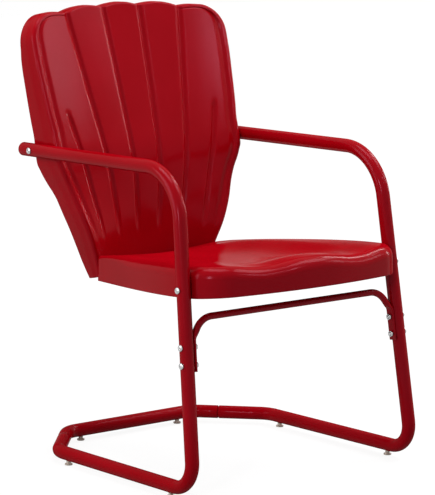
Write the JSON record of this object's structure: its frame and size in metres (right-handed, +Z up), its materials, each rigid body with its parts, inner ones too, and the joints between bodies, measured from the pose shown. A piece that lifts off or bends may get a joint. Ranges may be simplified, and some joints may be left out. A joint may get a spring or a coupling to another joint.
{
  "type": "metal spring lawn chair",
  "caption": "Cantilever metal lawn chair with a fluted shell back, a dished seat pan and bent tube arms that run on into floor runners.",
  "frame": {"origin": "on the floor, under the middle of the chair's box", "axes": "+Z up, -Y the way the sitter faces, +X the sitter's left"},
  "size_m": [0.554, 0.638, 0.8519],
  "materials": {
    "red_paint": "glossy deep red powder coat",
    "zinc": "bright zinc plate",
    "cap_plastic": "glossy moulded plastic in the frame's red",
    "glide_plastic": "satin moulded plastic"
  },
  "bodies": {
    "base": {"rear_base_tube": "red_paint", "side_frame_right": "red_paint", "glide_front_right": "glide_plastic", "glide_rear_right": "glide_plastic", "glide_crossbar_right": "glide_plastic", "side_frame_left": "red_paint", "glide_front_left": "glide_plastic", "glide_rear_left": "glide_plastic", "glide_crossbar_left": "glide_plastic"},
    "upper": {"front_brace": "red_paint", "seat_pan": "red_paint", "back_shell": "red_paint", "arm_end_cap_right": "cap_plastic", "arm_bolt_right": "zinc", "arm_nut_right": "zinc", "seat_bolt_right": "zinc", "seat_nut_right": "zinc", "brace_bolt_upper_right": "zinc", "brace_nut_upper_right": "zinc", "brace_bolt_lower_right": "zinc", "brace_nut_lower_right": "zinc", "arm_end_cap_left": "cap_plastic", "arm_bolt_left": "zinc", "arm_nut_left": "zinc", "seat_bolt_left": "zinc", "seat_nut_left": "zinc", "brace_bolt_upper_left": "zinc", "brace_nut_upper_left": "zinc", "brace_bolt_lower_left": "zinc", "brace_nut_lower_left": "zinc", "back_bolt_right": "zinc", "back_nut_right": "zinc", "back_bolt_middle": "zinc", "back_nut_middle": "zinc", "back_bolt_left": "zinc", "back_nut_left": "zinc"}
  },
  "joints": [
    {"name": "frame_flex", "type": "hinge", "parent": "base", "child": "upper", "pos_m": [0, -0.27, 0.045], "axis": [-1, 0, 0], "range_deg": [-1, 4], "stiffness_Nm_per_rad": 6500, "springref_deg": -0.22, "deforming": ["side_frame_left", "side_frame_right"]}
  ]
}
